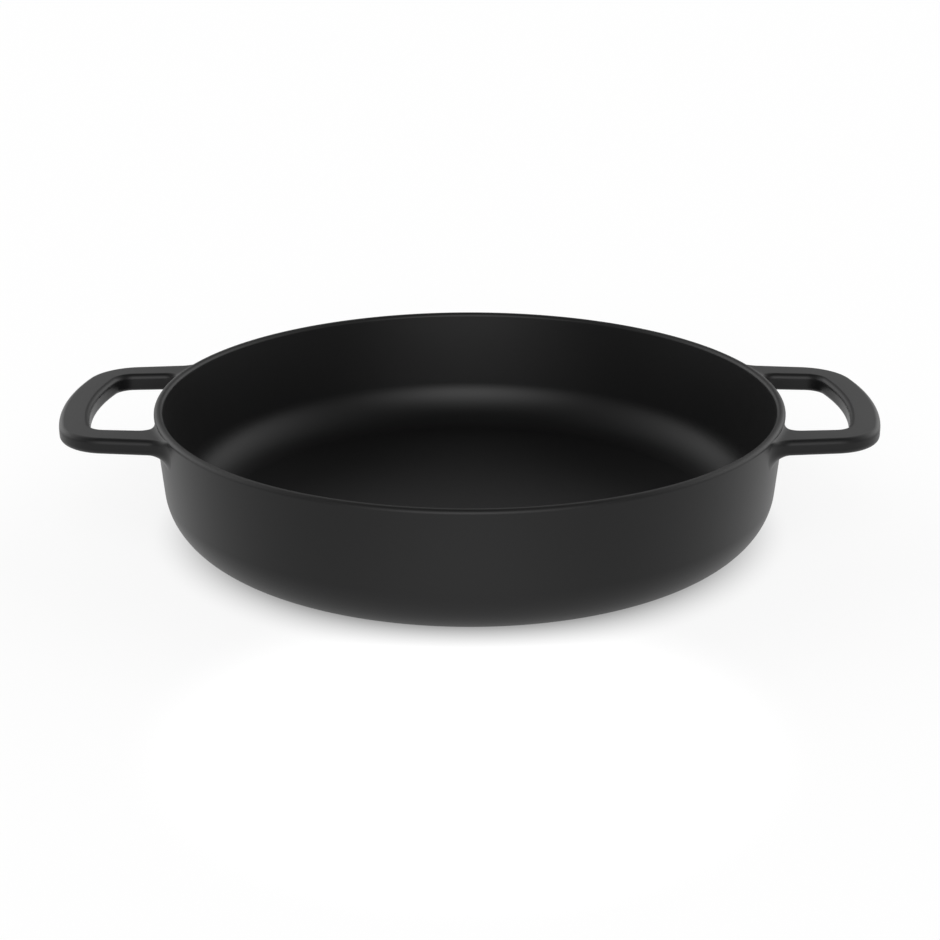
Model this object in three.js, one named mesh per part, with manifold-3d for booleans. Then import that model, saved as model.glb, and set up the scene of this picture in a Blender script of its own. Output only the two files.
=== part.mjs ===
// Deep round cast iron pan with two flat loop handles just below its rim.
// Millimetres, +Z up. The origin is the centre of the base, and +X runs out along the right handle.

import * as THREE from 'three';
import { mergeVertices } from 'three/addons/utils/BufferGeometryUtils.js';
import Module from 'manifold-3d';

// Vessel
const RIM_INNER_DIAMETER = 280;
const PAN_HEIGHT = 60.5;
const WALL_THICKNESS = 4;
const BASE_THICKNESS = 5;
const WALL_DRAFT_DEGREES = 4.95;
const HEEL_REACH = 25.9; // rounded corner between base and wall, measured along the base
const HEEL_RISE = 25.1; // the same corner, measured up the wall
const LIP_ROUNDING = 1.6;

// Handle, seen from above: a tapered loop with a bowed end
const HANDLE_WIDTH = 111.6; // level with the rim's outermost point
const HANDLE_REACH = 42.4; // from the rim's outside to the outer end
const HANDLE_TAPER_DEGREES = 6.35; // how far each leg's outer side leans in
const HANDLE_END_RADIUS = 148.8;
const HANDLE_CORNER_RADIUS = 24.4;

// The iron round the finger opening inside that loop
const LEG_WIDTH = 15.5;
const END_BAR_WIDTH = 13.6;
const OPENING_TAPER_DEGREES = 3.65;
const OPENING_END_RADIUS = 127.2;
const OPENING_CORNER_RADIUS = 8;

// Handle, seen from the side
const HANDLE_THICKNESS = 7.2; // at the outer edge
const OPENING_THICKNESS = 8.5; // at the edge of the finger opening: the underside slopes
const HANDLE_DROP = 2.2; // top face below the rim
const HANDLE_EDGE_ROUNDING = 2.5;
const ROOT_FILLET = 6.6; // concave corner between a leg and the wall, outside and below
const OPENING_FILLET = 9; // the same corner on the side of the finger opening
const ROOT_GAP = 0.3; // clearance between a handle's root and the wall
const ROOT_BITE = 2; // how far a leg runs into the wall before it is trimmed
const ROUNDING_LIMIT = 0.45; // largest edge rounding, as a share of the thickness that it rounds

// Facets
const TURN_SEGMENTS = 80;
const HEEL_SEGMENTS = 9;
const LIP_SEGMENTS = 3;
const EDGE_SEGMENTS = 3;
const FILLET_SEGMENTS = 4;
const LEG_SEGMENTS = 2;
const CORNER_SEGMENTS = 7;
const END_SEGMENTS = 6;

const wasm = await Module();
wasm.setup();

const draft = THREE.MathUtils.degToRad(WALL_DRAFT_DEGREES);
const innerRadius = RIM_INNER_DIAMETER / 2;
const outerRadius = innerRadius + WALL_THICKNESS;
const handleTop = PAN_HEIGHT - HANDLE_DROP;
const outerBottom = handleTop - HANDLE_THICKNESS;
const innerBottom = handleTop - OPENING_THICKNESS;
const lipRounding = Math.min(LIP_ROUNDING, ROUNDING_LIMIT * WALL_THICKNESS);
const topFillet = Math.min(ROOT_FILLET, Math.max(HANDLE_DROP - lipRounding, 0));
const openingWidth = HANDLE_WIDTH - 2 * LEG_WIDTH;
const openingDepth = HANDLE_REACH - END_BAR_WIDTH;
const rootRadius = wallRadius(outerRadius, (handleTop + outerBottom) / 2);

/** Radius of a drafted wall at a height, from its radius at the rim's top. */
function wallRadius(radiusAtRim, height) {
  return radiusAtRim - Math.tan(draft) * (PAN_HEIGHT - height);
}

/** Points along an elliptical arc, angles in radians. */
function arcPoints(centreX, centreY, radiusX, radiusY, start, end, segments) {
  const clockwise = end < start;
  const arc = new THREE.EllipseCurve(centreX, centreY, radiusX, radiusY, start, end, clockwise);
  return arc.getPoints(segments);
}

/** Heel curve from a floor up to where it meets a drafted wall without a corner. */
function heelPoints(radiusAtRim, floorHeight, reach, rise) {
  const support = Math.hypot(reach * Math.cos(draft), rise * Math.sin(draft));
  const centreHeight = floorHeight + rise;
  const centreRadius = wallRadius(radiusAtRim, centreHeight) - support / Math.cos(draft);
  const wallAngle = Math.atan2(-rise * Math.sin(draft), reach * Math.cos(draft));
  return arcPoints(centreRadius, centreHeight, reach, rise, -Math.PI / 2, wallAngle, HEEL_SEGMENTS);
}

/** Rim rounding, from the wall up to the rim's top: side is 1 for the outer edge, -1 for the inner edge. */
function lipPoints(radiusAtRim, side) {
  const round = lipRounding;
  const centreHeight = PAN_HEIGHT - round;
  const centreRadius = wallRadius(radiusAtRim, centreHeight) - side * round / Math.cos(draft);
  const wallAngle = side > 0 ? -draft : Math.PI - draft;
  return arcPoints(centreRadius, centreHeight, round, round, wallAngle, Math.PI / 2, LIP_SEGMENTS);
}

/** Turns a profile of radius and height about the pan's axis. */
function turned(profile) {
  return new THREE.LatheGeometry(profile, TURN_SEGMENTS).rotateX(Math.PI / 2);
}

/** Closed solid from a geometry, by position alone. */
function solidOf(geometry) {
  const bare = geometry.clone();
  bare.deleteAttribute('normal');
  bare.deleteAttribute('uv');
  const merged = mergeVertices(bare);
  const vertProperties = Float32Array.from(merged.attributes.position.array);
  const triVerts = Uint32Array.from(merged.index.array);
  return new wasm.Manifold(new wasm.Mesh({ numProp: 3, vertProperties, triVerts }));
}

/** Geometry with one vertex per corner, from a closed solid. */
function geometryOf(solid) {
  const mesh = solid.getMesh();
  const geometry = new THREE.BufferGeometry();
  geometry.setAttribute('position', new THREE.BufferAttribute(Float32Array.from(mesh.vertProperties), 3));
  geometry.setIndex(new THREE.BufferAttribute(Uint32Array.from(mesh.triVerts), 1));
  geometry.computeVertexNormals();
  return geometry;
}

/** Whole vessel: base, heel, wall, rim, and the same inside. */
function vesselSolid() {
  const innerReach = HEEL_REACH - WALL_THICKNESS;
  const innerRise = HEEL_RISE - BASE_THICKNESS;
  const profile = [
    new THREE.Vector2(0, 0),
    ...heelPoints(outerRadius, 0, HEEL_REACH, HEEL_RISE),
    ...lipPoints(outerRadius, 1),
    ...lipPoints(innerRadius, -1).reverse(),
    ...heelPoints(innerRadius, BASE_THICKNESS, innerReach, innerRise).reverse(),
    new THREE.Vector2(0, BASE_THICKNESS),
  ];
  return solidOf(turned(profile));
}

/** Filled space inside the vessel's outer face, grown by the root gap, for trimming a handle. */
function vesselSpace() {
  const grown = outerRadius + ROOT_GAP / Math.cos(draft);
  const ceiling = PAN_HEIGHT + HANDLE_THICKNESS;
  const profile = [
    new THREE.Vector2(0, -ROOT_GAP),
    ...heelPoints(grown, -ROOT_GAP, HEEL_REACH + ROOT_GAP, HEEL_RISE + ROOT_GAP),
    new THREE.Vector2(wallRadius(grown, ceiling), ceiling),
    new THREE.Vector2(0, ceiling),
  ];
  return solidOf(turned(profile));
}

/**
 * Half outline of a loop seen from above, on its +Y side: a leaning leg, a round corner and a bowed end.
 * The width is the loop's full width level with the rim's outermost point.
 */
class LoopOutline {
  constructor(width, depth, taperDegrees, endRadius, cornerRadius) {
    const taper = THREE.MathUtils.degToRad(taperDegrees);
    this.along = new THREE.Vector2(Math.cos(taper), -Math.sin(taper));
    this.legPoint = new THREE.Vector2(outerRadius, width / 2);
    const inward = new THREE.Vector2(-Math.sin(taper), -Math.cos(taper));
    const endCentre = new THREE.Vector2(outerRadius + depth - endRadius, 0);
    const start = this.legPoint.clone().addScaledVector(inward, cornerRadius);
    const step = distanceToCircle(start, this.along, endCentre, endRadius - cornerRadius);
    const cornerCentre = start.addScaledVector(this.along, step);
    this.legEnd = cornerCentre.clone().addScaledVector(inward, -cornerRadius);
    const turn = cornerCentre.clone().sub(endCentre).angle();
    this.corner = arcPoints(
      cornerCentre.x, cornerCentre.y, cornerRadius, cornerRadius, Math.PI / 2 - taper, turn, CORNER_SEGMENTS);
    this.end = arcPoints(endCentre.x, 0, endRadius, endRadius, turn, 0, END_SEGMENTS);
  }

  /** Point of the leg's line at a distance outside the wall. */
  legAt(wallDistance) {
    const step = distanceToCircle(this.legPoint, this.along, new THREE.Vector2(), rootRadius + wallDistance);
    return this.legPoint.clone().addScaledVector(this.along, step);
  }
}

/** Step along a unit direction from a point to where it leaves a circle. */
function distanceToCircle(point, direction, centre, radius) {
  const offset = point.clone().sub(centre);
  const half = offset.dot(direction);
  return -half + Math.sqrt(half * half - offset.lengthSq() + radius * radius);
}

const outerLoop = new LoopOutline(
  HANDLE_WIDTH, HANDLE_REACH, HANDLE_TAPER_DEGREES, HANDLE_END_RADIUS, HANDLE_CORNER_RADIUS);
const openingLoop = new LoopOutline(
  openingWidth, openingDepth, OPENING_TAPER_DEGREES, OPENING_END_RADIUS, OPENING_CORNER_RADIUS);

/**
 * Station of the handle near the wall, where the leg widens sideways along the wall and down.
 * The wall distance and the widening are shares of a fillet.
 */
function rootStation(distance, widening) {
  const centre = new THREE.Vector2();
  const swung = (loop, fillet, side) =>
    loop.legAt(fillet * distance).rotateAround(centre, side * fillet * widening / rootRadius);
  return {
    outer: swung(outerLoop, ROOT_FILLET, 1),
    inner: swung(openingLoop, OPENING_FILLET, -1),
    top: handleTop + topFillet * widening,
    outerBottom: outerBottom - ROOT_FILLET * widening,
    innerBottom: innerBottom - ROOT_FILLET * widening,
  };
}

/** Station of the handle clear of the wall. */
function loopStation(outer, inner) {
  return { outer, inner, top: handleTop, outerBottom, innerBottom };
}

/** Stations from the wall to the middle of the end bar, on the +Y side. */
function halfStations() {
  const stations = [rootStation(-ROOT_BITE / ROOT_FILLET, 1)];
  for (let i = 0; i <= FILLET_SEGMENTS; i += 1) {
    const angle = (Math.PI / 2) * (i / FILLET_SEGMENTS);
    stations.push(rootStation(1 - Math.cos(angle), 1 - Math.sin(angle)));
  }
  const legStart = stations[stations.length - 1];
  for (let i = 1; i < LEG_SEGMENTS; i += 1) {
    const share = i / LEG_SEGMENTS;
    const outer = legStart.outer.clone().lerp(outerLoop.legEnd, share);
    const inner = legStart.inner.clone().lerp(openingLoop.legEnd, share);
    stations.push(loopStation(outer, inner));
  }
  outerLoop.corner.forEach((point, i) => stations.push(loopStation(point, openingLoop.corner[i])));
  outerLoop.end.slice(1).forEach((point, i) => stations.push(loopStation(point, openingLoop.end[i + 1])));
  return stations;
}

/** The same station on the -Y side. */
function mirroredStation(station) {
  const flip = (point) => new THREE.Vector2(point.x, -point.y);
  return { ...station, outer: flip(station.outer), inner: flip(station.inner) };
}

/** Rounded section of the handle at a station, as points in space. */
function sectionPoints({ outer, inner, top, outerBottom: outerFoot, innerBottom: innerFoot }) {
  const width = outer.distanceTo(inner);
  const thickness = top - Math.max(outerFoot, innerFoot);
  const rounding = Math.min(HANDLE_EDGE_ROUNDING, ROUNDING_LIMIT * Math.min(width, thickness));
  const corners = [
    [width - rounding, outerFoot + rounding, -Math.PI / 2],
    [width - rounding, top - rounding, 0],
    [rounding, top - rounding, Math.PI / 2],
    [rounding, innerFoot + rounding, Math.PI],
  ];
  return corners.flatMap(([across, height, start]) =>
    arcPoints(across, height, rounding, rounding, start, start + Math.PI / 2, EDGE_SEGMENTS).map((point) => {
      const plan = inner.clone().lerp(outer, point.x / width);
      return new THREE.Vector3(plan.x, plan.y, point.y);
    }));
}

/** Skin over a row of sections, closed at both ends. */
function loftGeometry(sections) {
  const count = sections[0].length;
  const index = [];
  const corner = (section, point) => section * count + (point % count);
  for (let s = 0; s + 1 < sections.length; s += 1) {
    for (let p = 0; p < count; p += 1) {
      index.push(corner(s, p), corner(s, p + 1), corner(s + 1, p + 1));
      index.push(corner(s, p), corner(s + 1, p + 1), corner(s + 1, p));
    }
  }
  const last = sections.length - 1;
  for (let p = 1; p + 1 < count; p += 1) {
    index.push(corner(0, 0), corner(0, p + 1), corner(0, p));
    index.push(corner(last, 0), corner(last, p), corner(last, p + 1));
  }
  const geometry = new THREE.BufferGeometry().setFromPoints(sections.flat());
  geometry.setIndex(index);
  return geometry;
}

/** Loop handle on the +X side, trimmed to the wall. */
function handleSolid() {
  const half = halfStations();
  const otherHalf = half.slice(0, -1).map(mirroredStation).reverse();
  const loop = solidOf(loftGeometry([...half, ...otherHalf].map(sectionPoints)));
  return loop.subtract(vesselSpace());
}

/** Satin black seasoned iron. */
function castIron() {
  return new THREE.MeshStandardMaterial({ color: 0x28282a, roughness: 0.5, metalness: 0.1 });
}

function namedMesh(name, geometry) {
  const mesh = new THREE.Mesh(geometry, castIron());
  mesh.name = name;
  return mesh;
}

const pan = new THREE.Group();
pan.name = 'cast_iron_pan';
pan.add(namedMesh('pan_body', geometryOf(vesselSolid())));

const handleGeometry = geometryOf(handleSolid());
const rightHandle = namedMesh('right_handle', handleGeometry);
const leftHandle = namedMesh('left_handle', handleGeometry);
leftHandle.rotation.z = Math.PI;
pan.add(rightHandle, leftHandle);

export default pan;
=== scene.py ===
"""Looks of a deep round cast iron pan with two flat loop handles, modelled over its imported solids.

Lengths are metres, in the frame of the solids: the origin is the centre of the base, +X runs out along the
right handle and +Z is up.
"""

import logging
import math
from collections.abc import Callable, Mapping, Sequence
from dataclasses import dataclass
from enum import Enum
from itertools import pairwise
from typing import Any

import bmesh
import bpy
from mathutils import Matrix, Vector


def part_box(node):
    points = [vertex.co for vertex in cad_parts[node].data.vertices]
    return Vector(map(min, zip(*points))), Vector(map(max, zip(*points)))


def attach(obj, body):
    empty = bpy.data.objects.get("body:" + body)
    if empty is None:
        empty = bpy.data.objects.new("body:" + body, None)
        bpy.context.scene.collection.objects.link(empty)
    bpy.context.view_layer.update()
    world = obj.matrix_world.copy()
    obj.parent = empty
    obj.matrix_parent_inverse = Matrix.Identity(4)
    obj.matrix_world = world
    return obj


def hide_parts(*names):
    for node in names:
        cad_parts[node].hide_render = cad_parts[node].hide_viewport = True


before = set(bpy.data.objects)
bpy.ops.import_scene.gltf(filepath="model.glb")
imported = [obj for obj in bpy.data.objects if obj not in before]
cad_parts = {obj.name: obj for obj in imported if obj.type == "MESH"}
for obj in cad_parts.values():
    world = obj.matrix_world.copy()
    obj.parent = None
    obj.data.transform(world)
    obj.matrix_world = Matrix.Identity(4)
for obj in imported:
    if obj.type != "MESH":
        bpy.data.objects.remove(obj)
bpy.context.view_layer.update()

BODY = "root"
VESSEL_NODE = "pan_body"
SHARP_ANGLE = math.radians(50.0)
LEAST_FLAT_NORMAL_Z = 0.5
MERGE_DISTANCE = 1e-6
SEED_SIZE = 0.001
ROUND_PROFILE = 0.5
NOISE_MIDDLE = 0.5
NOISE_ROUGHNESS = 0.55
LOG = logging.getLogger("pan")

Colour = tuple[float, float, float]


class Face(Enum):
    """Face of the vessel's wall, as the direction that it looks in along the radius."""

    OUTER = 1
    INNER = -1


class Side(Enum):
    """Side of the pan that a handle stands on."""

    RIGHT = "right"
    LEFT = "left"

    @property
    def turn(self) -> float:
        """Turn about the pan's axis from the right side."""
        return 0.0 if self is Side.RIGHT else math.pi

    @property
    def node(self) -> str:
        """Name of the handle's solid."""
        return f"{self.value}_handle"

    @property
    def piece(self) -> str:
        """Name of the handle's visual piece."""
        return f"{self.value}_loop_handle"


# Shader writing


class Value:
    """Output of a shader node, with arithmetic that adds Math nodes."""

    def __init__(self, shader: "Shader", socket: bpy.types.NodeSocket | None) -> None:
        """Keeps the shader that holds the socket, and the socket."""
        self.shader = shader
        self.socket = socket

    def _math(self, operation: str, first: "Value | float", second: "Value | float") -> "Value":
        """Adds a Math node on two operands."""
        return self.shader.node("ShaderNodeMath", {"operation": operation}, {0: first, 1: second})

    def __add__(self, other: "Value | float") -> "Value":
        """Sum."""
        return self._math("ADD", self, other)

    def __radd__(self, other: float) -> "Value":
        """Sum with a number on the left."""
        return self._math("ADD", other, self)

    def __sub__(self, other: "Value | float") -> "Value":
        """Difference."""
        return self._math("SUBTRACT", self, other)

    def __rsub__(self, other: float) -> "Value":
        """Difference from a number on the left."""
        return self._math("SUBTRACT", other, self)

    def __mul__(self, other: "Value | float") -> "Value":
        """Product."""
        return self._math("MULTIPLY", self, other)

    def __rmul__(self, other: float) -> "Value":
        """Product with a number on the left."""
        return self._math("MULTIPLY", other, self)

    def __abs__(self) -> "Value":
        """Size without the sign."""
        return self._math("ABSOLUTE", self, 0.0)


class Shader:
    """Node tree of a material or of the world."""

    def __init__(self, tree: bpy.types.NodeTree) -> None:
        """Empties the tree."""
        self.tree = tree
        tree.nodes.clear()

    def node(
        self,
        kind: str,
        settings: Mapping[str, Any] | None = None,
        inputs: Mapping[str | int, Any] | None = None,
        output: str | int = 0,
    ) -> Value:
        """Adds a node.

        Args:
            kind: Type name of the node.
            settings: Properties set before the sockets.
            inputs: Values or links of the sockets, by name or number.
            output: Name or number of the output that is handed back.

        Returns:
            The output, or a value without a socket where the node has no outputs.
        """
        made = self.tree.nodes.new(kind)
        for name, setting in (settings or {}).items():
            setattr(made, name, setting)
        for name, value in (inputs or {}).items():
            if isinstance(value, Value):
                self.tree.links.new(value.socket, made.inputs[name])
            else:
                made.inputs[name].default_value = value
        return Value(self, made.outputs[output] if len(made.outputs) else None)

    def noise(self, place: Value, feature: float, detail: float) -> Value:
        """Noise with values about NOISE_MIDDLE.

        Args:
            place: Coordinates in metres.
            feature: Size of its features in metres.
            detail: Number of finer layers.

        Returns:
            The noise value.
        """
        return self.node(
            "ShaderNodeTexNoise", {"noise_dimensions": "3D"},
            {"Vector": place, "Scale": 1.0 / feature, "Detail": detail, "Roughness": NOISE_ROUGHNESS})

    def ramp(self, value: Value, low: float, high: float) -> Value:
        """Smooth step of a value from 0 at a low bound to 1 at a high bound."""
        return self.node(
            "ShaderNodeMapRange", {"interpolation_type": "SMOOTHSTEP"},
            {"Value": value, "From Min": low, "From Max": high})


@dataclass(frozen=True)
class SeasonedIron:
    """Satin black seasoned iron: fine cast grain, faint patches of oil film, and scuffs where it is used.

    The scuffs lie on the rim's crest and on the base's flat, where a lid and a hob rub. Lengths are metres,
    and the tints, the wear and the grain's share are plain factors.
    """

    name: str
    crest: float
    colour: Colour = (0.0058, 0.0058, 0.0060)
    worn_colour: Colour = (0.0078, 0.0077, 0.0076)
    roughness: float = 0.40
    roughness_spread: float = 0.04
    grain_share: float = 0.5
    scuff: float = 0.05
    specular_level: float = 0.235
    grain: float = 0.0007
    grain_layers: float = 3.0
    grain_depth: float = 0.000016
    patch: float = 0.045
    patch_layers: float = 2.0
    patch_tint: float = 0.35
    crest_band: float = 0.0022
    base_band: float = 0.0006
    least_wear: float = 0.4
    patchy_wear: float = 1.2
    wear_tint: float = 0.6

    def material(self) -> bpy.types.Material:
        """Builds the material.

        Returns:
            The finished material.
        """
        material = bpy.data.materials.new(self.name)
        material.use_nodes = True
        shader = Shader(material.node_tree)
        place = shader.node("ShaderNodeTexCoord", output="Object")
        height = shader.node("ShaderNodeSeparateXYZ", inputs={0: place}, output="Z")
        grain = shader.noise(place, self.grain, self.grain_layers)
        patches = shader.noise(place, self.patch, self.patch_layers)
        wear = shader.ramp(height, self.crest - self.crest_band, self.crest)
        wear = wear + (1.0 - shader.ramp(height, 0.0, self.base_band))
        wear = wear * (self.least_wear + self.patchy_wear * patches)
        roughness = self.roughness + self.roughness_spread * (patches - NOISE_MIDDLE)
        roughness = roughness + self.grain_share * self.roughness_spread * (grain - NOISE_MIDDLE)
        roughness = roughness + self.scuff * wear
        tint = self.patch_tint * patches + self.wear_tint * wear
        tint = shader.node("ShaderNodeClamp", inputs={"Value": tint})
        colour = shader.node(
            "ShaderNodeMix", {"data_type": "RGBA"},
            {"Factor": tint, "A": (*self.colour, 1.0), "B": (*self.worn_colour, 1.0)}, output="Result")
        bump = shader.node(
            "ShaderNodeBump", inputs={"Height": grain, "Strength": 1.0, "Distance": self.grain_depth})
        surface = shader.node("ShaderNodeBsdfPrincipled", inputs={
            "Base Color": colour, "Roughness": roughness, "Normal": bump,
            "Specular IOR Level": self.specular_level})
        shader.node("ShaderNodeOutputMaterial", inputs={"Surface": surface})
        return material


# Modelling


def deselect_all() -> None:
    """Deselects every object, so that an operator acts on new pieces alone."""
    bpy.ops.object.select_all(action="DESELECT")


def arc(centre: Vector, radii: tuple[float, float], start: float, end: float, segments: int) -> list[Vector]:
    """Points along an elliptical arc.

    Args:
        centre: Centre in the plane.
        radii: Half axes along the plane's two directions.
        start: First angle in radians.
        end: Last angle in radians.
        segments: Number of chords.

    Returns:
        The points, both ends included.
    """
    angles = (start + (end - start) * i / segments for i in range(segments + 1))
    return [centre + Vector((radii[0] * math.cos(a), radii[1] * math.sin(a))) for a in angles]


def step_to_circle(point: Vector, direction: Vector, centre: Vector, radius: float) -> float:
    """Step along a unit direction from a point to where it leaves a circle.

    Args:
        point: Start in the plane.
        direction: Unit direction.
        centre: Centre of the circle.
        radius: Radius of the circle.

    Returns:
        The length of the step.
    """
    offset = point - centre
    half = offset.dot(direction)
    return -half + math.sqrt(half * half - offset.length_squared + radius * radius)


def extrude_chain(points: Sequence[Vector]) -> None:
    """Draws a chain of edges in the mesh that is being edited, from one vertex.

    Args:
        points: Points of the chain in space.
    """
    bpy.ops.mesh.select_all(action="DESELECT")
    bpy.ops.mesh.primitive_plane_add(size=SEED_SIZE, location=points[0])
    bpy.ops.mesh.merge(type="CENTER")
    for here, there in pairwise(points):
        bpy.ops.mesh.extrude_vertices_move(TRANSFORM_OT_translate={"value": there - here})


def select_edges(piece: bpy.types.Object, wanted: Callable[[bmesh.types.BMEdge], bool]) -> None:
    """Selects the edges of the piece that is being edited, by a test.

    Args:
        piece: Piece in edit mode.
        wanted: Test of an edge.
    """
    bpy.ops.mesh.select_mode(type="EDGE")
    bpy.ops.mesh.select_all(action="DESELECT")
    mesh = bmesh.from_edit_mesh(piece.data)
    for edge in mesh.edges:
        edge.select_set(wanted(edge))
    bmesh.update_edit_mesh(piece.data)


def finish_mesh(piece: bpy.types.Object) -> None:
    """Closes doubles, turns the faces outwards and shades them smooth, with flats and sharp edges kept.

    Args:
        piece: Piece in object mode.
    """
    deselect_all()
    piece.select_set(True)
    bpy.context.view_layer.objects.active = piece
    bpy.ops.object.mode_set(mode="EDIT")
    bpy.ops.mesh.select_all(action="SELECT")
    bpy.ops.mesh.remove_doubles(threshold=MERGE_DISTANCE)
    bpy.ops.mesh.normals_make_consistent(inside=False)
    bpy.ops.mesh.select_all(action="DESELECT")
    bpy.ops.mesh.edges_select_sharp(sharpness=SHARP_ANGLE)
    bpy.ops.mesh.mark_sharp()
    bpy.ops.object.mode_set(mode="OBJECT")
    bpy.ops.object.shade_smooth()
    modifier = piece.modifiers.new("flat faces stay flat", "WEIGHTED_NORMAL")
    modifier.keep_sharp = True
    bpy.ops.object.modifier_apply(modifier=modifier.name)


def place_piece(piece: bpy.types.Object, node: str, material: bpy.types.Material) -> None:
    """Gives a finished piece its finish and puts it in the place of its solid.

    Args:
        piece: Finished piece.
        node: Solid that it stands for.
        material: Finish.
    """
    piece.data.materials.clear()
    piece.data.materials.append(material)
    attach(piece, BODY)
    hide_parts(node)
    LOG.info("%s: %d faces, for %s", piece.name, len(piece.data.polygons), node)


@dataclass
class Vessel:
    """Round vessel, raised ring by ring: flat base, heel, drafted wall, rim, and the same inside."""

    height: float
    inner_diameter: float = 0.280
    wall: float = 0.004
    base: float = 0.005
    draft: float = math.radians(4.95)
    heel_reach: float = 0.0259
    heel_rise: float = 0.0251
    lip: float = 0.0018
    turn_segments: int = 256
    heel_segments: int = 24
    lip_segments: int = 8

    @property
    def outer_radius(self) -> float:
        """Radius of the wall's outer face, carried up to the rim's height."""
        return self.wall_radius(Face.OUTER, self.height)

    def wall_radius(self, face: Face, height: float) -> float:
        """Radius of a drafted face of the wall at a height."""
        at_rim = self.inner_diameter / 2 + (self.wall if face is Face.OUTER else 0.0)
        return at_rim - math.tan(self.draft) * (self.height - height)

    def lip_centre(self, face: Face) -> Vector:
        """Centre of the rim's rounding on a face, as radius and height."""
        height = self.height - self.lip
        inset = self.lip / math.cos(self.draft)
        return Vector((self.wall_radius(face, height) - face.value * inset, height))

    def outer_face(self, height: float) -> float:
        """Radius of the outside at a height between the heel and the crest.

        Args:
            height: Height above the base.

        Returns:
            The radius on the wall, or on the rim's rounding above it.
        """
        centre = self.lip_centre(Face.OUTER)
        over = height - centre.y
        if over <= 0.0:
            return self.wall_radius(Face.OUTER, height)
        return centre.x + math.sqrt(max(self.lip**2 - over**2, 0.0))

    def heel(self, face: Face) -> list[Vector]:
        """Elliptical heel, from the flat of the base or floor up to where it runs into the wall.

        Args:
            face: Outside or inside.

        Returns:
            Points of radius and height.
        """
        reach, rise = self.heel_reach, self.heel_rise
        if face is Face.INNER:
            reach, rise = reach - self.wall, rise - self.base
        support = math.hypot(reach * math.cos(self.draft), rise * math.sin(self.draft))
        radius = self.wall_radius(face, self.heel_rise) - support / math.cos(self.draft)
        end = math.atan2(-rise * math.sin(self.draft), reach * math.cos(self.draft))
        return arc(Vector((radius, self.heel_rise)), (reach, rise), -math.pi / 2, end, self.heel_segments)

    def rim(self, face: Face) -> list[Vector]:
        """Rounding of one edge of the rim, from the wall up to the crest.

        Args:
            face: Outside or inside.

        Returns:
            Points of radius and height.
        """
        start = -self.draft if face is Face.OUTER else math.pi - self.draft
        return arc(self.lip_centre(face), (self.lip, self.lip), start, math.pi / 2, self.lip_segments)

    def profile(self) -> list[Vector]:
        """Section of the vessel, from the edge of the base's flat round to the edge of the floor.

        Returns:
            Points of radius and height.
        """
        return [
            *self.heel(Face.OUTER),
            *self.rim(Face.OUTER),
            *reversed(self.rim(Face.INNER)),
            *reversed(self.heel(Face.INNER)),
        ]

    def build(self) -> bpy.types.Object:
        """Models the vessel from a disc, by extruding and resizing its edge along the section.

        Returns:
            The finished piece.
        """
        profile = self.profile()
        deselect_all()
        bpy.ops.mesh.primitive_circle_add(
            vertices=self.turn_segments, radius=profile[0].x, fill_type="NGON", enter_editmode=True)
        vessel = bpy.context.object
        vessel.name = "cast_vessel"
        for here, there in pairwise(profile):
            bpy.ops.mesh.extrude_edges_move(TRANSFORM_OT_translate={"value": (0.0, 0.0, there.y - here.y)})
            growth = there.x / here.x
            bpy.ops.transform.resize(value=(growth, growth, 1.0), center_override=(0.0, 0.0, 0.0))
        bpy.ops.mesh.edge_face_add()
        bpy.ops.object.mode_set(mode="OBJECT")
        finish_mesh(vessel)
        return vessel


@dataclass(frozen=True)
class LoopOutline:
    """Half outline of a loop seen from above, on its +Y side: a leaning leg, a round corner and a bowed end.

    The width is the loop's full width level with the rim's outermost point, and the depth is its reach
    beyond that point.
    """

    rim_radius: float
    root_radius: float
    width: float
    depth: float
    taper: float
    end_radius: float
    corner_radius: float
    fillet: float

    @property
    def along(self) -> Vector:
        """Direction of the leg, away from the wall."""
        return Vector((math.cos(self.taper), -math.sin(self.taper)))

    @property
    def leg_point(self) -> Vector:
        """Point of the leg's line level with the rim's outermost point."""
        return Vector((self.rim_radius, self.width / 2))

    @property
    def end_centre(self) -> Vector:
        """Centre of the bowed end."""
        return Vector((self.rim_radius + self.depth - self.end_radius, 0.0))

    @property
    def corner_centre(self) -> Vector:
        """Centre of the corner, which touches the leg and the bowed end."""
        inward = Vector((-math.sin(self.taper), -math.cos(self.taper)))
        start = self.leg_point + inward * self.corner_radius
        reach = self.end_radius - self.corner_radius
        return start + self.along * step_to_circle(start, self.along, self.end_centre, reach)

    @property
    def corner_turn(self) -> float:
        """Angle about the end's centre at which the corner runs into the end."""
        toward_corner = self.corner_centre - self.end_centre
        return math.atan2(toward_corner.y, toward_corner.x)

    def leg_at(self, wall_distance: float) -> Vector:
        """Point of the leg's line at a distance outside the wall."""
        radius = self.root_radius + wall_distance
        step = step_to_circle(self.leg_point, self.along, Vector((0.0, 0.0)), radius)
        return self.leg_point + self.along * step

    def corner(self, segments: int) -> list[Vector]:
        """Points of the round corner, from the leg to the end."""
        radii = (self.corner_radius, self.corner_radius)
        return arc(self.corner_centre, radii, math.pi / 2 - self.taper, self.corner_turn, segments)

    def end(self, segments: int) -> list[Vector]:
        """Points of the bowed end, from the corner to the middle."""
        return arc(self.end_centre, (self.end_radius, self.end_radius), self.corner_turn, 0.0, segments)


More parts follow.
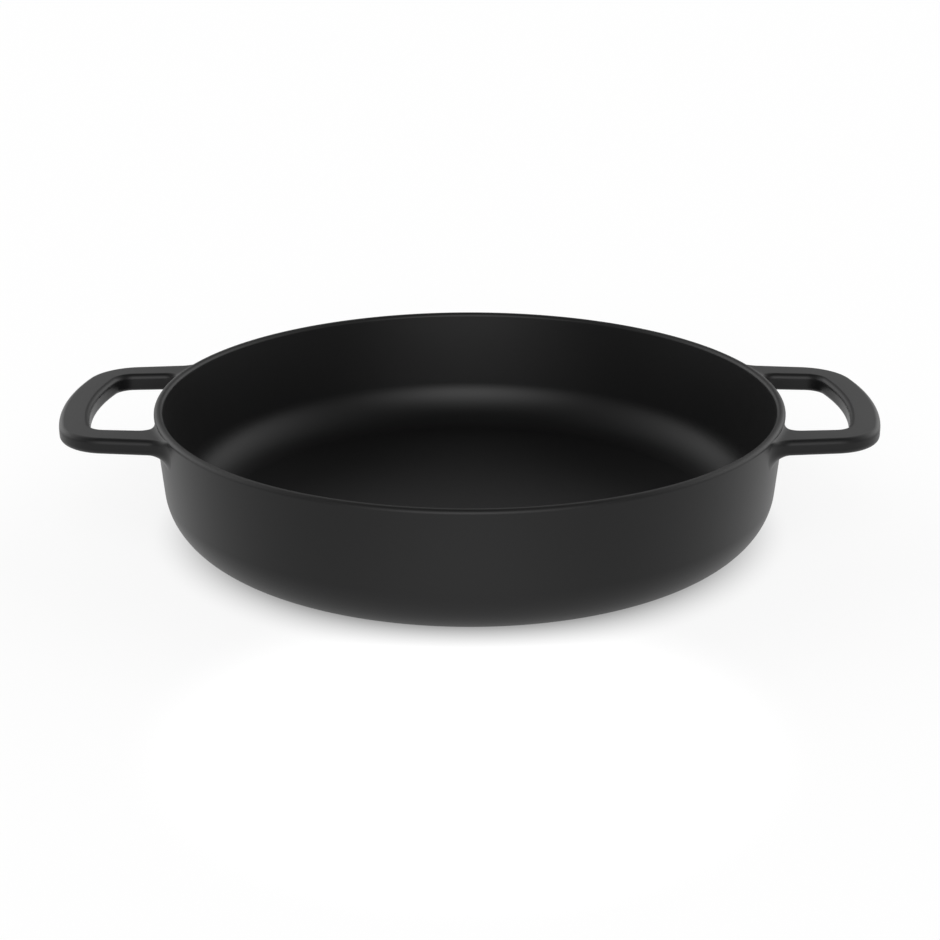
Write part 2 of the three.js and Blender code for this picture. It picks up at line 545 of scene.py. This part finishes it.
@dataclass
class LoopHandle:
    """Flat loop handle, cast onto the wall just below the rim with a filleted root.

    Its underside slopes, so that the iron is thickest at the edge of the finger opening.
    """

    vessel: Vessel
    width: float = 0.1116
    reach: float = 0.0424
    taper: float = math.radians(6.35)
    end_radius: float = 0.1488
    corner_radius: float = 0.0244
    leg_width: float = 0.0155
    end_bar_width: float = 0.0136
    opening_taper: float = math.radians(3.65)
    opening_end_radius: float = 0.1272
    opening_corner_radius: float = 0.008
    thickness: float = 0.0072
    opening_thickness: float = 0.0085
    drop: float = 0.0022
    edge_rounding: float = 0.0025
    root_fillet: float = 0.0066
    opening_fillet: float = 0.009
    top_fillet: float = 0.003
    top_rise: float = 0.0013
    root_bite: float = 0.002
    fillet_segments: int = 12
    leg_segments: int = 6
    corner_segments: int = 20
    end_segments: int = 20
    edge_segments: int = 8

    @property
    def top(self) -> float:
        """Height of the top face."""
        return self.vessel.height - self.drop

    @property
    def bottom(self) -> float:
        """Height of the underside at the outer edge."""
        return self.top - self.thickness

    @property
    def slope(self) -> float:
        """How much lower the underside is at the finger opening than at the outer edge."""
        return self.opening_thickness - self.thickness

    @property
    def root_radius(self) -> float:
        """Radius of the wall's outer face at the handle's middle height."""
        return self.vessel.wall_radius(Face.OUTER, self.top - self.thickness / 2)

    @property
    def outer_outline(self) -> LoopOutline:
        """Outside of the loop."""
        return LoopOutline(
            self.vessel.outer_radius, self.root_radius, self.width, self.reach, self.taper,
            self.end_radius, self.corner_radius, self.root_fillet)

    @property
    def opening_outline(self) -> LoopOutline:
        """Finger opening inside the loop."""
        return LoopOutline(
            self.vessel.outer_radius, self.root_radius, self.width - 2 * self.leg_width,
            self.reach - self.end_bar_width, self.opening_taper, self.opening_end_radius,
            self.opening_corner_radius, self.opening_fillet)

    def half_outline(self, outline: LoopOutline) -> list[Vector]:
        """Stations along one outline, from inside the wall to the middle of the end bar.

        Args:
            outline: Outside of the loop or its opening.

        Returns:
            Points seen from above, on the +Y side.
        """
        turns = (math.pi / 2 * i / self.fillet_segments for i in range(self.fillet_segments + 1))
        distances = [-self.root_bite, *(outline.fillet * (1 - math.cos(turn)) for turn in turns)]
        root = [outline.leg_at(distance) for distance in distances]
        corner = outline.corner(self.corner_segments)
        leg = [root[-1].lerp(corner[0], i / self.leg_segments) for i in range(1, self.leg_segments)]
        return [*root, *leg, *corner, *outline.end(self.end_segments)[1:]]

    def rail(self, outline: LoopOutline) -> list[Vector]:
        """Whole outline on the top face, from root to root.

        Args:
            outline: Outside of the loop or its opening.

        Returns:
            Points in space.
        """
        half = self.half_outline(outline)
        other_half = [Vector((point.x, -point.y)) for point in reversed(half[:-1])]
        return [Vector((point.x, point.y, self.top)) for point in [*half, *other_half]]

    def is_long_edge(self, edge: bmesh.types.BMEdge) -> bool:
        """Whether an edge runs along the loop between a flat face and a side.

        Args:
            edge: Edge of the thickened ribbon.

        Returns:
            True for an edge that is to be rounded.
        """
        first, second = (vertex.co for vertex in edge.verts)
        level = abs(first.z - second.z) < self.thickness / 2
        inside_wall = max(first.xy.length, second.xy.length) < self.root_radius - self.root_bite / 2
        flats = sum(abs(face.normal.z) > LEAST_FLAT_NORMAL_Z for face in edge.link_faces)
        return level and not inside_wall and flats == 1

    def is_opening_foot(self, edge: bmesh.types.BMEdge) -> bool:
        """Whether an edge runs along the loop between the underside and the finger opening.

        Args:
            edge: Edge of the thickened ribbon.

        Returns:
            True for an edge that the underside slopes down to.
        """
        middle = (edge.verts[0].co + edge.verts[1].co) / 2
        opening_centre = Vector((self.vessel.outer_radius + self.reach / 2, 0.0, middle.z))
        faces_opening = any(face.normal.dot(opening_centre - middle) > 0 for face in edge.link_faces)
        return self.is_long_edge(edge) and middle.z < self.top - self.thickness / 2 and faces_opening

    @staticmethod
    def fillet_share(distance: float, radius: float) -> float:
        """Share of a round fillet's height at a distance from the wall: 1 at the wall, 0 at its radius."""
        run = max(1 - distance / radius, 0.0)
        return 1 - math.sqrt(1 - run * run)

    def flare_root(self, place: Vector) -> Vector:
        """Moves a point of a straight leg out into the fillet that joins the leg to the wall.

        The fillet spreads along the wall on both sides and down, climbs a little way up the rim's rounding,
        and ends on the wall's face. No operator follows a round drafted wall, so the points move by formula.

        Args:
            place: Point of the straight leg.

        Returns:
            The point in the fillet, or the same point where it lies clear of it.
        """
        radius = place.xy.length
        distance = max(radius - self.root_radius, 0.0)
        if distance >= self.opening_fillet or radius < self.root_radius - self.root_bite / 2:
            return place
        outer, opening = (
            math.atan2(point.y, point.x)
            for point in (self.outer_outline.leg_at(distance), self.opening_outline.leg_at(distance))
        )
        bearing = math.atan2(place.y, place.x)
        share = (outer - abs(bearing)) / (outer - opening)
        in_outer_half = share < 0.5
        fillet = self.root_fillet if in_outer_half else self.opening_fillet
        foot = self.bottom - self.slope * share
        below = min(max((foot + self.edge_rounding - place.z) / self.edge_rounding, 0.0), 1.0)
        swing = fillet * self.fillet_share(distance, fillet) * math.sqrt(1 - below * below) / radius
        bearing += math.copysign(swing, bearing) * (1 if in_outer_half else -1)
        height = place.z - below * self.root_fillet * self.fillet_share(distance, self.root_fillet)
        if place.z > self.top - self.thickness / 2:
            height += self.top_rise * self.fillet_share(distance, self.top_fillet)
        lean = self.vessel.outer_face(height) - self.root_radius
        radius += lean * max(1 - distance / self.root_fillet, 0.0)
        return Vector((radius * math.cos(bearing), radius * math.sin(bearing), height))

    def build(self) -> bpy.types.Object:
        """Models the right handle: a ribbon bridged between two rails, thickened, rounded and flared.

        Returns:
            The finished piece.
        """
        deselect_all()
        bpy.ops.mesh.primitive_plane_add(size=self.reach)
        handle = bpy.context.object
        handle.name = Side.RIGHT.piece
        bpy.ops.object.mode_set(mode="EDIT")
        bpy.ops.mesh.delete(type="VERT")
        extrude_chain(self.rail(self.outer_outline))
        extrude_chain(self.rail(self.opening_outline))
        bpy.ops.mesh.select_all(action="SELECT")
        bpy.ops.mesh.bridge_edge_loops()
        bpy.ops.mesh.select_all(action="SELECT")
        bpy.ops.mesh.extrude_region_move(TRANSFORM_OT_translate={"value": (0.0, 0.0, -self.thickness)})
        bpy.ops.mesh.select_all(action="SELECT")
        bpy.ops.mesh.normals_make_consistent(inside=False)
        select_edges(handle, self.is_opening_foot)
        bpy.ops.transform.translate(value=(0.0, 0.0, -self.slope))
        select_edges(handle, self.is_long_edge)
        bpy.ops.mesh.bevel(
            offset=self.edge_rounding, segments=self.edge_segments, profile=ROUND_PROFILE,
            clamp_overlap=False)
        mesh = bmesh.from_edit_mesh(handle.data)
        for vertex in mesh.verts:
            vertex.co = self.flare_root(vertex.co.copy())
        bmesh.update_edit_mesh(handle.data)
        bpy.ops.object.mode_set(mode="OBJECT")
        finish_mesh(handle)
        return handle

    @staticmethod
    def copy_to(side: Side, handle: bpy.types.Object) -> bpy.types.Object:
        """Copies a handle, mesh and all, to another side of the pan.

        Args:
            side: Side of the copy.
            handle: Handle on the right.

        Returns:
            The copy, with its place in its mesh.
        """
        deselect_all()
        handle.select_set(True)
        bpy.context.view_layer.objects.active = handle
        bpy.ops.object.duplicate(linked=False)
        copy = bpy.context.object
        copy.name = side.piece
        bpy.ops.transform.rotate(value=side.turn, orient_axis="Z", center_override=(0.0, 0.0, 0.0))
        bpy.ops.object.transform_apply(location=True, rotation=True, scale=True)
        return copy


# Studio


@dataclass(frozen=True)
class SoftLight:
    """Large soft light round the studio, fading out smoothly from its middle.

    The bearing is the angle of its middle from straight behind the pan, the same on both sides, and the
    spread is the angle over which it fades out. The height is the sine of its middle's elevation, and the
    rise is how far above and below that it has faded out.
    """

    level: float
    bearing: float
    spread: float
    height: float
    rise: float

    def level_at(self, shader: Shader, bearing: Value, height: Value) -> Value:
        """Level of the light in a direction.

        Args:
            shader: Shader of the world.
            bearing: Angle of the direction from straight behind the pan.
            height: Sine of the direction's elevation.

        Returns:
            The level.
        """
        across = 1.0 - shader.ramp(abs(bearing - self.bearing), 0.0, self.spread)
        up = 1.0 - shader.ramp(abs(height - self.height), 0.0, self.rise)
        return self.level * across * up


@dataclass
class Studio:
    """Pale floor, soft lights, and the camera at the photograph's viewing angle.

    The axis's column, the focal length and the image width are pixels of the photograph. The floor glows,
    apart from its paint; its glow sets in between two radii round the foot of the pan, a painted contact
    shadow, and a painted pool of light adds to it in front.
    """

    image_width: float = 940.0
    axis_column: float = 469.7
    focal_pixels: float = 1910.8
    camera_distance: float = 0.88
    camera_elevation: float = math.radians(18.134)
    camera_tilt: float = math.radians(20.3515)
    aim_height: float = 0.06045
    sensor: float = 36.0
    floor_size: float = 40.0
    floor_gap: float = 0.0002
    floor_paint: float = 0.2
    floor_glow: float = 0.81
    # Painted contact shadow: radii between which the floor's glow fades in round the pan's foot.
    painted_shadow_radii: tuple[float, float] = (0.100, 0.150)
    # Painted pool of light: extra glow on the floor in front of the pan.
    painted_pool_centre: tuple[float, float, float] = (0.0, -0.21, 0.0)
    painted_pool_radius: float = 0.13
    painted_pool_level: float = 0.45
    side_light: SoftLight = SoftLight(
        level=3.3, bearing=math.radians(60.0), spread=math.radians(75.0), height=0.34, rise=0.67)
    front_light: SoftLight = SoftLight(
        level=5.9, bearing=math.radians(180.0), spread=math.radians(56.0), height=0.35, rise=0.79)

    def build_camera(self) -> None:
        """Stands the camera at the photograph's viewing angle."""
        away = self.camera_distance * math.cos(self.camera_elevation)
        above = self.camera_distance * math.sin(self.camera_elevation)
        deselect_all()
        bpy.ops.object.camera_add(
            location=(0.0, -away, self.aim_height + above),
            rotation=(math.pi / 2 - self.camera_tilt, 0.0, 0.0))
        camera = bpy.context.object
        camera.name = "studio_camera"
        camera.data.sensor_width = self.sensor
        camera.data.lens = self.sensor * self.focal_pixels / self.image_width
        camera.data.shift_x = (self.image_width / 2 - self.axis_column) / self.image_width
        bpy.context.scene.camera = camera

    @staticmethod
    def seen(shader: Shader) -> Value:
        """Mask of the rays that show a background: from the camera, off gloss and through glass."""
        camera, gloss, glass = (
            shader.node("ShaderNodeLightPath", output=name)
            for name in ("Is Camera Ray", "Is Glossy Ray", "Is Transmission Ray")
        )
        return shader.node("ShaderNodeClamp", inputs={"Value": camera + gloss + glass})

    def build_floor(self) -> None:
        """Lays the pale floor, which keeps the pan's shadow.

        It stays dark where the pan stands on it, a painted contact shadow where its glow fades out, and
        extra glow paints a pool of light on it in front of the pan.
        """
        deselect_all()
        bpy.ops.mesh.primitive_plane_add(size=self.floor_size, location=(0.0, 0.0, -self.floor_gap))
        floor = bpy.context.object
        floor.name = "studio_floor"
        material = bpy.data.materials.new("pale_floor")
        material.use_nodes = True
        shader = Shader(material.node_tree)
        grey = (self.floor_paint, self.floor_paint, self.floor_paint, 1.0)
        paint = shader.node("ShaderNodeBsdfDiffuse", inputs={"Color": grey})
        place = shader.node("ShaderNodeTexCoord", output="Object")
        radius = shader.node("ShaderNodeVectorMath", {"operation": "LENGTH"}, {0: place}, output="Value")
        from_painted_pool = shader.node(
            "ShaderNodeVectorMath", {"operation": "DISTANCE"}, {0: place, 1: self.painted_pool_centre},
            output="Value")
        # Painted pool of light in front of the pan, added to the floor's glow.
        painted_pool = self.painted_pool_level * (1.0 - shader.ramp(from_painted_pool, 0.0, self.painted_pool_radius))
        # Painted contact shadow: no glow at the pan's foot, full glow beyond its outer radius.
        level = shader.ramp(radius, *self.painted_shadow_radii) * (self.floor_glow + painted_pool)
        glow = shader.node("ShaderNodeEmission", inputs={"Strength": level * self.seen(shader)})
        surface = shader.node("ShaderNodeAddShader", inputs={0: paint, 1: glow})
        shader.node("ShaderNodeOutputMaterial", inputs={"Surface": surface})
        floor.data.materials.append(material)

    def build_world(self) -> None:
        """Lights the studio from both sides and from behind the camera, and leaves it dim overhead."""
        world = bpy.data.worlds.new("studio")
        world.use_nodes = True
        bpy.context.scene.world = world
        shader = Shader(world.node_tree)
        direction = shader.node("ShaderNodeTexCoord", output="Generated")
        x, y, height = (
            shader.node("ShaderNodeSeparateXYZ", inputs={0: direction}, output=axis) for axis in "XYZ"
        )
        bearing = abs(shader.node("ShaderNodeMath", {"operation": "ARCTAN2"}, {0: x, 1: y}))
        sides, front = (
            light.level_at(shader, bearing, height) for light in (self.side_light, self.front_light)
        )
        background = shader.node("ShaderNodeBackground", inputs={"Strength": sides + front})
        shader.node("ShaderNodeOutputWorld", inputs={"Surface": background})

    def build(self) -> None:
        """Builds the camera, the floor and the light."""
        self.build_camera()
        self.build_floor()
        self.build_world()
        bpy.context.scene.view_settings.view_transform = "Standard"


def main() -> None:
    """Builds the pan and its studio, and reports each piece."""
    logging.basicConfig(level=logging.INFO, format="%(name)s: %(message)s")
    vessel = Vessel(height=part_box(VESSEL_NODE)[1].z)
    iron = SeasonedIron("seasoned_iron", crest=vessel.height).material()
    place_piece(vessel.build(), VESSEL_NODE, iron)
    handle = LoopHandle(vessel)
    right = handle.build()
    handles = {Side.RIGHT: right, Side.LEFT: handle.copy_to(Side.LEFT, right)}
    for side, piece in handles.items():
        place_piece(piece, side.node, iron)
    Studio().build()


if __name__ == "__main__":
    main()
